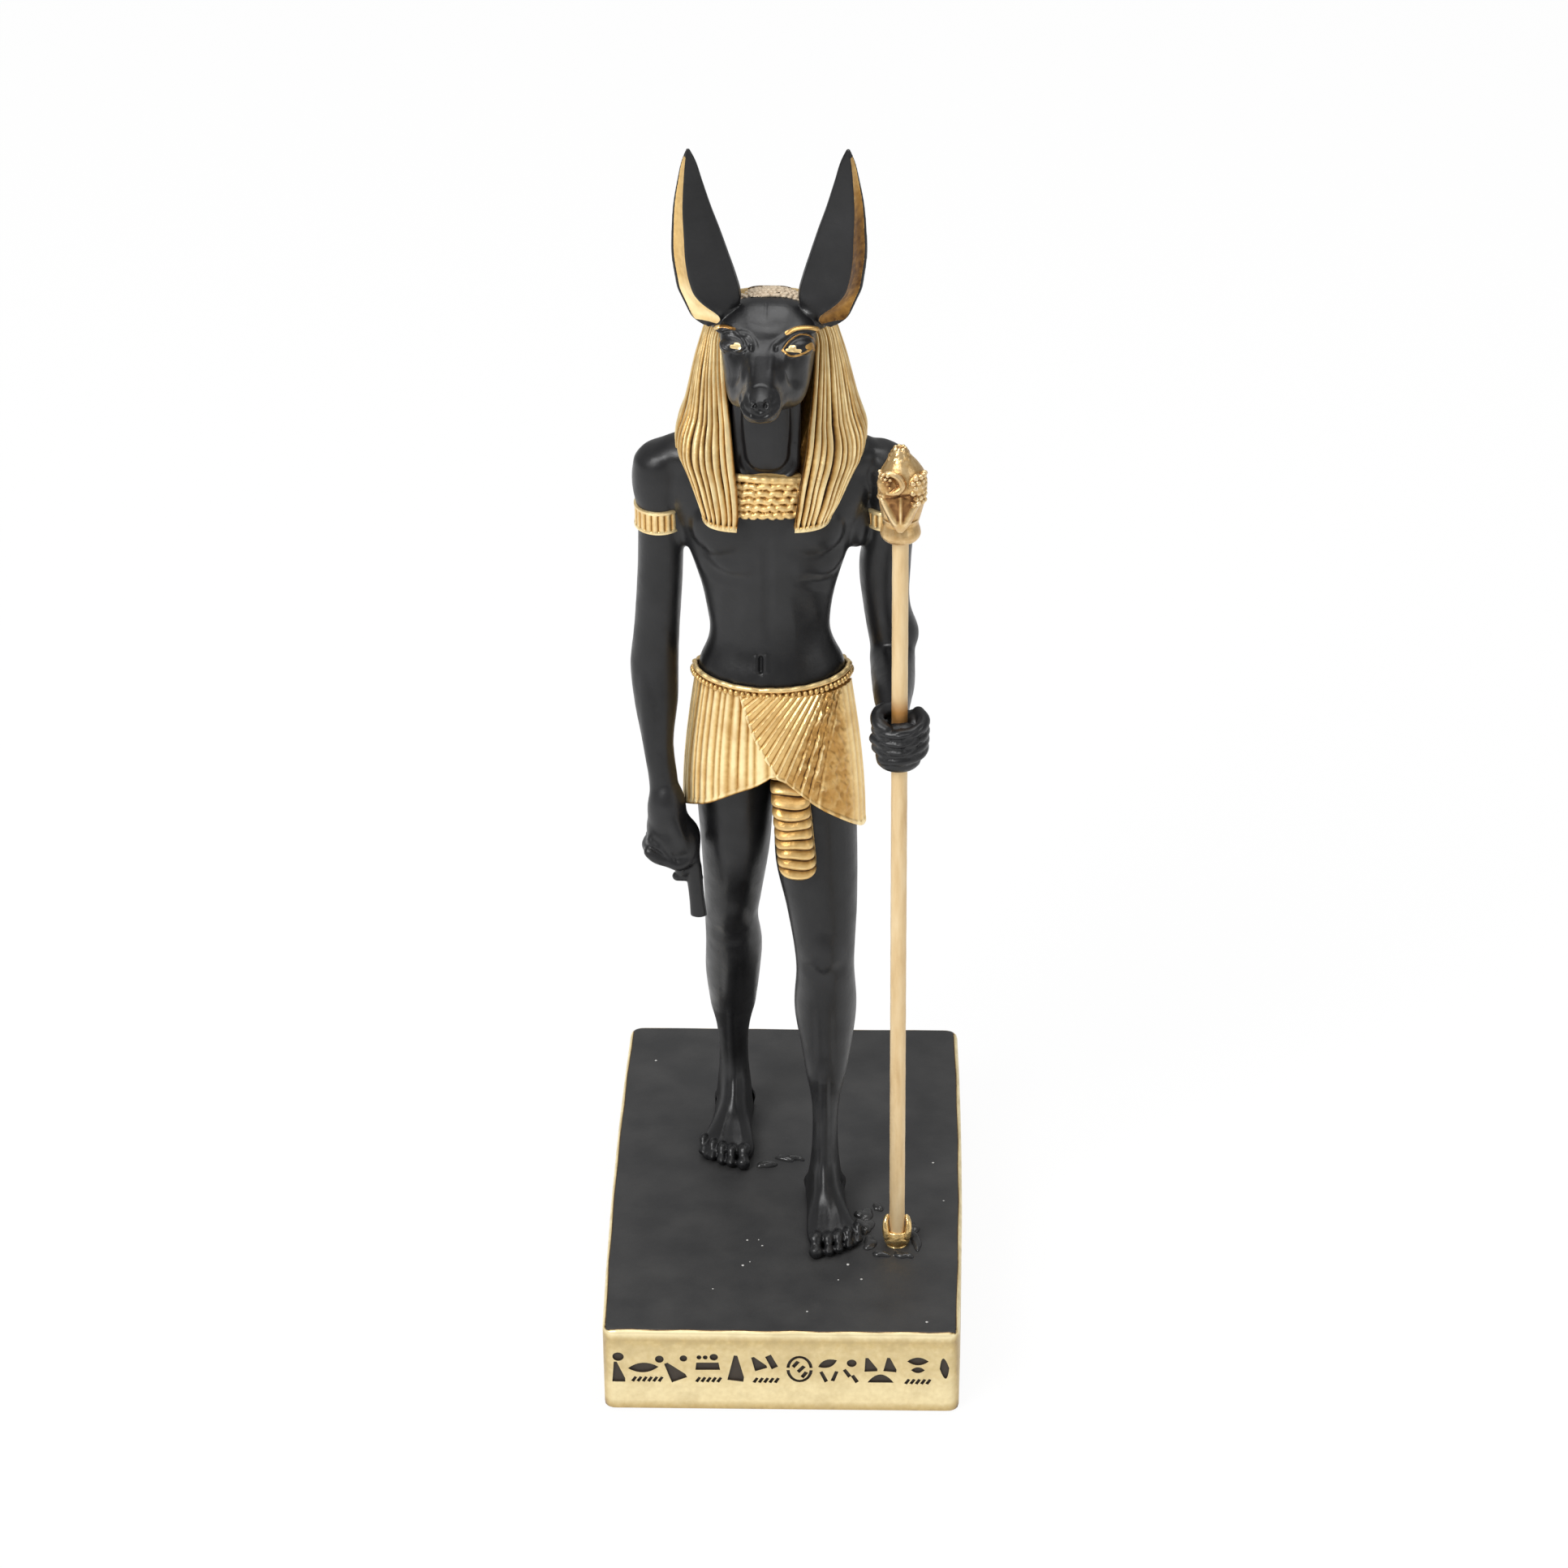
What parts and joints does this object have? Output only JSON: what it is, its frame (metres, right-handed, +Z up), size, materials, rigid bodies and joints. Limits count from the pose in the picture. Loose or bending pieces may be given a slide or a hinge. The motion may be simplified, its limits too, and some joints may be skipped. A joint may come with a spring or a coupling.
{
  "type": "anubis standing statue",
  "caption": "Small black and gold standing figure with a jackal's head, a pleated kilt and a tall staff, on an oblong plinth, for a shelf or desk.",
  "frame": {"origin": "middle of the plinth's underside", "axes": "+Z up, the figure and the strip of strokes face -Y, +X is the side of the staff"},
  "size_m": [0.0468, 0.071, 0.16],
  "materials": {
    "figure": "satin black cast resin with gold paint on headdress, collar, armbands, kilt and ears",
    "plinth": "satin black cast resin with gold paint on the edges and the front face",
    "staff": "matt pale gold paint",
    "staff_fittings": "cast resin in satin copper gold paint"
  },
  "bodies": {
    "root": {"plinth": "plinth", "figure": "figure", "staff_rod": "staff", "staff_head": "staff_fittings", "staff_foot": "staff_fittings"}
  },
  "joints": []
}
